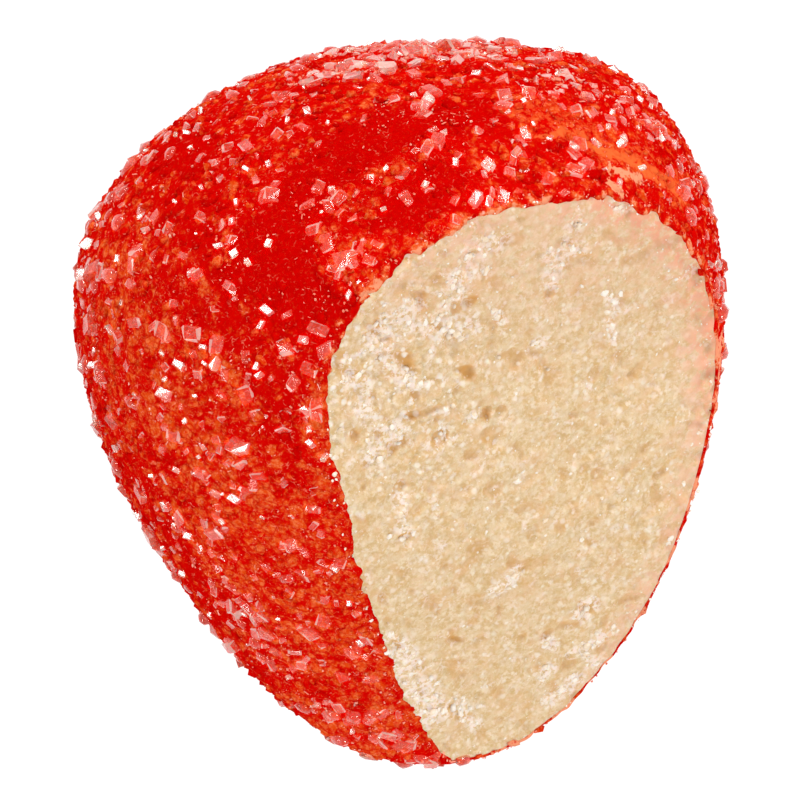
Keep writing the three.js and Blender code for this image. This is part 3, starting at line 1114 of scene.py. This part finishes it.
def dyed_material(name, roughness, gloss):
    """Dyed sugar: deep red, with orange patches where the dye is thin."""
    material, sheet, shader = new_material(name)
    warm, bare, peach = (sheet.number(stored) for stored in ("warm", "bare", "peach"))
    dye = sheet.group(dyed, Warm=warm, Bare=bare, Peach=peach)
    sheet.feed(shader.inputs["Base Color"], dye["Color"])
    shader.inputs["Roughness"].default_value = roughness
    shader.inputs["Specular IOR Level"].default_value = gloss
    sheet.feed(shader.inputs["Normal"], sheet.bump(dye["Height"], 0.5, 0.08))
    return material


def clear_material(name, clearness, roughness, uneven, tint, pale):
    """Sugar that lets the red show through, in part tinted and in part paler."""
    material, sheet, shader = new_material(name)
    flaw = sheet.group(grain, Scale=per(0.15), Detail=3.0, Low=0.48, High=0.62)
    streak = sheet.group(strokes, Scale=per(0.3), Width=0.06, Low=0.4, High=0.55)["Mask"]
    colour = sheet.layered(
        sheet.mix(sheet.step(sheet.number("cloud"), 0.0, 1.3, 0.0, 0.3), tint, pale),
        (flaw["Mask"], 0.35, pale),
        (streak, 0.75, WHITE_SUGAR),
    )
    sheet.feed(shader.inputs["Base Color"], colour)
    shader.inputs["Transmission Weight"].default_value = clearness
    shader.inputs["Roughness"].default_value = roughness
    shader.inputs["IOR"].default_value = 1.5
    sheet.feed(shader.inputs["Normal"], sheet.bump(flaw["Height"], uneven, 0.04))
    let_light_in(material, sheet, shader, SHADE_OF_CLEAR)
    return material


def dust_material():
    """Broken sugar with a film of dye."""
    material, sheet, shader = new_material("Sugar dust")
    colour = sheet.mix(sheet.step(sheet.number("cloud"), 0.2, 1.1), SALMON, SUGAR_DUST)
    sheet.feed(shader.inputs["Base Color"], colour)
    shader.inputs["Roughness"].default_value = 0.3
    return material


def paste_material():
    """Pale almond paste with soft lumps, ochre pits with painted shade, white crumbs and a bleed of dye
    beside the coat.
    """
    material, sheet, shader = new_material("Almond paste")
    fine = sheet.group(grain, Scale=per(0.16), Detail=3.0, Low=0.4, High=0.66)
    clump = grain_mask(sheet, 0.28, 4.0, 0.44, 0.56)
    small = sheet.group(dots, Scale=per(0.36), Share=0.14)["Mask"]
    large = sheet.group(dots, Scale=per(0.55), Share=0.2)["Mask"]
    torn = sheet.number("torn")
    often = sheet.step(torn, 0.0, 1.0, 0.35, 0.8)
    stained = sheet.step(grain_mask(sheet, 0.55, 5.0, 0.4, 0.6), 0.0, 1.0, 0.25, 1.0)
    colour = sheet.layered(
        sheet.mix(grain_mask(sheet, 0.5, 4.0, 0.38, 0.6), TAN_PASTE, PASTE),
        (fine["Mask"], 0.35, PALE_PASTE),
        (grain_mask(sheet, 0.33, 3.0, 0.5, 0.64), 0.7, PALE_PASTE),
        (grain_mask(sheet, 1.4, 4.0, 0.48, 0.68), 0.4, PEACH_PASTE),
        (grain_mask(sheet, 0.8, 4.0, 0.52, 0.64), sheet.step(torn, 0.0, 1.0, 0.2, 0.8), SOFT_OCHRE),
        # painted shade: ochre laid in the pits by their depth darkens the hollows, partly the paste's own
        # colour
        (sheet.number("pit_ochre_and_shade"), 0.85, PIT_OCHRE_AND_SHADE),
        (grain_mask(sheet, 0.42, 3.0, 0.58, 0.68), often, CRUMB_WHITE),
        (sheet.number("dry"), sheet.times(clump, 0.85), CRUMB_WHITE),
        (small, often, GRAIN_WHITE),
        (large, sheet.step(torn, 0.0, 1.0, 0.3, 0.8), GRAIN_WHITE),
        (sheet.number("bleed"), stained, PINK_BLEED),
        (sheet.number("soak"), stained, RED_BLEED),
    )
    sheet.feed(shader.inputs["Base Color"], colour)
    shader.inputs["Roughness"].default_value = 0.55
    shader.inputs["Specular IOR Level"].default_value = 0.3
    shader.inputs["Subsurface Weight"].default_value = 0.3
    shader.inputs["Subsurface Radius"].default_value = (1.0, 0.6, 0.3)
    shader.inputs["Subsurface Scale"].default_value = 0.3 * MM
    sheet.feed(shader.inputs["Normal"], sheet.bump(fine["Height"], 0.35, 0.06))
    return material


def crumb_material():
    """Loose crumbs of paste and sugar, paler than the cut."""
    material, sheet, shader = new_material("Loose crumbs")
    colour = sheet.layered(
        sheet.mix(sheet.step(sheet.number("cloud"), 0.2, 0.9), GRAIN_WHITE, PALE_PASTE),
        (grain_mask(sheet, 0.2, 2.0, 0.4, 0.7), 0.4, CRUMB_WHITE),
    )
    sheet.feed(shader.inputs["Base Color"], colour)
    shader.inputs["Roughness"].default_value = 0.6
    shader.inputs["Specular IOR Level"].default_value = 0.1
    return material


# Putting the pieces in place

def settle(piece, material, rounded, frosted=None):
    """Gives a piece its material, and its frosted faces another if they have one, and brings it from
    millimetres at the core line to its place in the frame."""
    mesh = piece.data
    put_places(mesh, (places_of(mesh) + ORIGIN) * MM)
    if not frosted:
        mesh.materials.clear()
        mesh.polygons.foreach_set("material_index", np.zeros(len(mesh.polygons), np.int32))
    mesh.materials.append(material)
    if frosted:
        mesh.materials.append(frosted)
    mesh.polygons.foreach_set("use_smooth", np.full(len(mesh.polygons), rounded))
    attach(piece, "root")


def give_dye(mesh, points, tones):
    """Stores how the dye lies on a piece of the coat, more orange where its tones are higher and paler
    beside the cut."""
    frayed = by_cut(points) * smooth(-0.2, 0.3, ripple(points, 0.5, 57.0))
    frayed = frayed * smooth(-8.0, 4.0, points[:, 1])
    give(mesh, "warm", 0.55 * warm_at(points) - 0.7 * glaze_at(points) + tones + 0.6 * frayed)
    # the brighter strips on the crown's right take part of the bare orange
    give(mesh, "bare", np.maximum(np.maximum(bare_at(points), 0.45 * brighter_at(points)), 0.9 * frayed))
    rubbed = 0.9 * worn_at(points) * smooth(-0.15, 0.25, ripple(points, 0.9, 41.0))
    give(mesh, "peach", np.maximum(np.maximum(peach_at(points), rubbed), 0.7 * frayed**2))


def red_coat():
    coat = carved("red_coat", skin, lining, knife)
    give_dye(coat.data, places_of(coat.data), -0.2)
    settle(coat, dyed_material("Dyed sugar coat", 0.45, 0.0), True)
    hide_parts("sugar_coat")


def marzipan_paste():
    paste = carved("marzipan_paste", lining, knife)
    points = places_of(paste.data)
    # the pits' depth, which carries their ochre and the painted shade of the hollows
    give(paste.data, "pit_ochre_and_shade", pit_at(points))
    give(paste.data, "dry", white_at(points))
    give(paste.data, "torn", torn_at(points))
    lip = smooth(2.6, 0.0, rim_depth(points) + 1.2 * ripple(points, 1.8, 50.0))
    bleed = 0.85 * lip * smooth(-4.0, 6.0, points[:, 0] + 0.5 * points[:, 1])
    give(paste.data, "bleed", np.maximum(bleed, 0.35 * smooth(1.0, 7.0, points[:, 1])))
    corner = smooth(8.0, 13.0, points[:, 0] + 0.4 * points[:, 1]) * smooth(-4.0, 5.0, points[:, 1])
    edge = smooth(1.7, 0.0, rim_depth(points) + 0.7 * ripple(points, 0.9, 52.0))
    give(paste.data, "soak", 0.6 * corner * edge)
    settle(paste, paste_material(), True)
    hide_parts("marzipan")


red_coat()
marzipan_paste()
settle(dyed_granules(), dyed_material("Dyed sugar granules", 0.35, 0.0), True)
clear_sugar = clear_material("Clear sugar", 0.82, 0.04, 0.3, TINTED_SUGAR, CLEAR_SUGAR)
frosted_sugar = clear_material("Frosted sugar", 0.6, 0.25, 0.3, CLEAR_SUGAR, WHITE_SUGAR)
settle(clear_crystals(), clear_sugar, False, frosted_sugar)
settle(large_crystals(), clear_sugar, False, frosted_sugar)
settle(rim_crystals(), clear_sugar, True)
glinting_sugar = clear_material("Glinting sugar", 0.8, 0.13, 0.08, CLEAR_SUGAR, WHITE_SUGAR)
settle(glinting_crystals(), glinting_sugar, False)
settle(fine_grains(), dust_material(), False)
settle(loose_crumbs(), crumb_material(), True)


# Floor, light and camera

FLOOR_HALF = 2.0  # metres
FLOOR_GREY = (0.22, 0.22, 0.22, 1)
FLOOR_GLOW = 0.87
ROOM_GLOW = 0.3
WHITE = (1, 1, 1, 1)
LIGHTS = (
    ("upper left light", KEY_LIGHT, 70, 26.0),
    ("lower right light", (190, -150, 210), 90, 20.5),
    ("lower left light", (-200, -160, 150), 80, 13.0),
    ("crown light", (90, 220, 130), 80, 19.0),
)  # each a name, a place, a width and a radiance


def white_floor():
    corners = [(x * FLOOR_HALF, y * FLOOR_HALF, 0) for x, y in ((-1, -1), (1, -1), (1, 1), (-1, 1))]
    mesh = mesh_from("floor", np.array(corners), [(0, 1, 2, 3)])
    floor = linked("floor", mesh)
    material, _, shader = new_material("White table")
    shader.inputs["Base Color"].default_value = FLOOR_GREY
    shader.inputs["Roughness"].default_value = 0.9
    shader.inputs["Specular IOR Level"].default_value = 0.0
    shader.inputs["Emission Color"].default_value = WHITE
    shader.inputs["Emission Strength"].default_value = FLOOR_GLOW
    mesh.materials.append(material)


def softbox(name, place, width, radiance):
    """A square lamp that faces the sweet, as bright as a sheet of a radiance."""
    light = bpy.data.lights.new(name, "AREA")
    light.size = width * MM
    light.energy = radiance * math.pi * light.size**2
    lamp = linked(name, light)
    lamp.location = Vector(place) * MM
    aim = Vector((0, 0, FLAT_DEPTH)) * MM - lamp.location
    lamp.rotation_euler = aim.to_track_quat("-Z", "Y").to_euler()


def soft_light():
    world = bpy.data.worlds.new("Pale room")
    bpy.context.scene.world = world
    world.use_nodes = True
    background = world.node_tree.nodes["Background"]
    background.inputs["Strength"].default_value = ROOM_GLOW
    background.inputs["Color"].default_value = WHITE
    for name, place, width, radiance in LIGHTS:
        softbox(name, place, width, radiance)


def overhead_camera():
    camera = bpy.data.cameras.new("overhead")
    camera.sensor_width = SENSOR
    camera.lens = SENSOR * LENS_HEIGHT / FRAME_WIDTH
    camera.clip_start = MM
    holder = linked("overhead", camera)
    holder.location = Vector(ORIGIN + np.array((*FRAME_MIDDLE, LENS_HEIGHT))) * MM
    bpy.context.scene.camera = holder


white_floor()
soft_light()
overhead_camera()
bpy.context.scene.view_settings.view_transform = "Standard"
